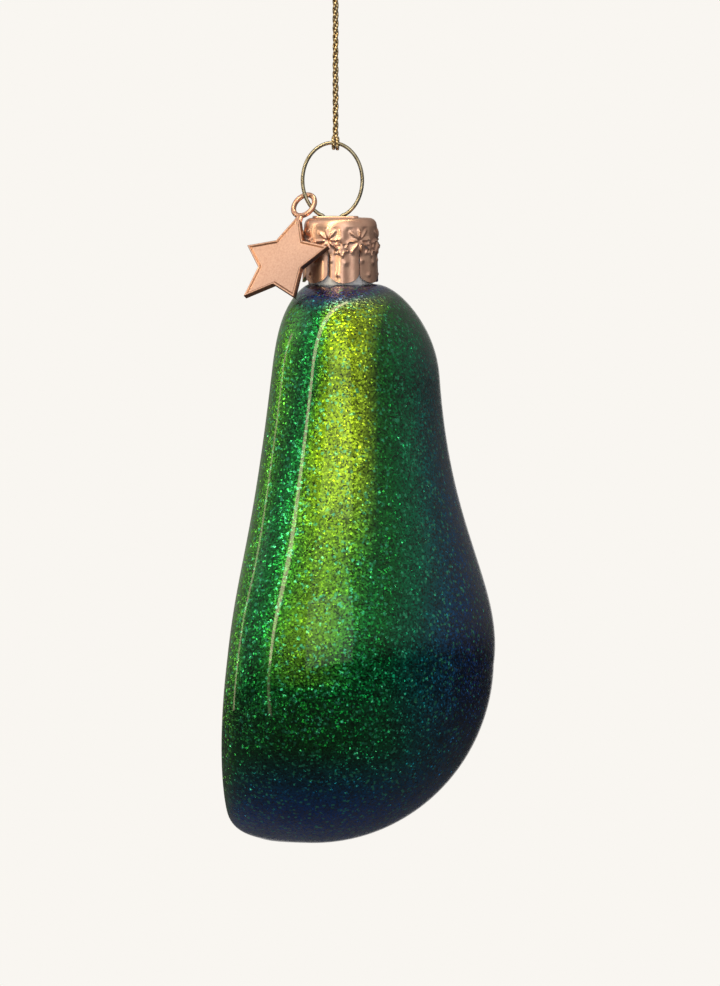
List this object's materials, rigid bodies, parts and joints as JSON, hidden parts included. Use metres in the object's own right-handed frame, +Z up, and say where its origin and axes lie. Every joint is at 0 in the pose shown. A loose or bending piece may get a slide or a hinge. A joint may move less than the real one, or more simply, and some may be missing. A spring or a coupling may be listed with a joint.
{
  "type": "hanging fruit ornament",
  "caption": "Hollow glass half-avocado tree ornament with a scalloped crown cap, wire hanger loop, cast star tag and hanging cord.",
  "frame": {"origin": "inside the top of the cord's loop, where a hook or twig carries the ornament", "axes": "+Z up along the hanging cord; the cut face of the fruit looks along -Y and its rounded back along +Y; X across the fruit"},
  "size_m": [0.057, 0.0418, 0.1617],
  "materials": {
    "cord": "twisted metallic gold cord",
    "wire": "antique gold plated steel wire",
    "cap": "stamped brass plated rose gold, embossed",
    "glass": "blown glass, silvered and lacquered green over glitter",
    "tag": "cast, plated rose gold, brushed face"
  },
  "bodies": {
    "cord": {"cord_loop": "cord", "cord_knot": "cord", "hanging_cord": "cord"},
    "hitch": {"cord_hitch": "cord"},
    "hanger": {"wire_hanger": "wire", "metal_cap": "cap"},
    "tag": {"star_tag": "tag"},
    "glass": {"glass_body": "glass"}
  },
  "joints": [
    {"name": "cord_twist", "type": "hinge", "parent": "cord", "child": "hitch", "pos_m": [0, 0, -0.04675], "axis": [0, 0, 1], "continuous": true, "stiffness_Nm_per_rad": 0.00002},
    {"name": "ornament_swing", "type": "hinge", "parent": "hitch", "child": "hanger", "pos_m": [0.00012, 0.00001, -0.04852], "axis": [-0.1478, 0.989, 0], "range_deg": [-145, 145]},
    {"name": "tag_swing", "type": "hinge", "parent": "hanger", "child": "tag", "pos_m": [0.00076, -0.00427, -0.05806], "axis": [-0.4115, -0.9114, 0], "range_deg": [0, 70]},
    {"name": "glass_release", "type": "slide", "parent": "hanger", "child": "glass", "axis": [0, 0, -1], "range_m": [0, 0.0165]}
  ]
}
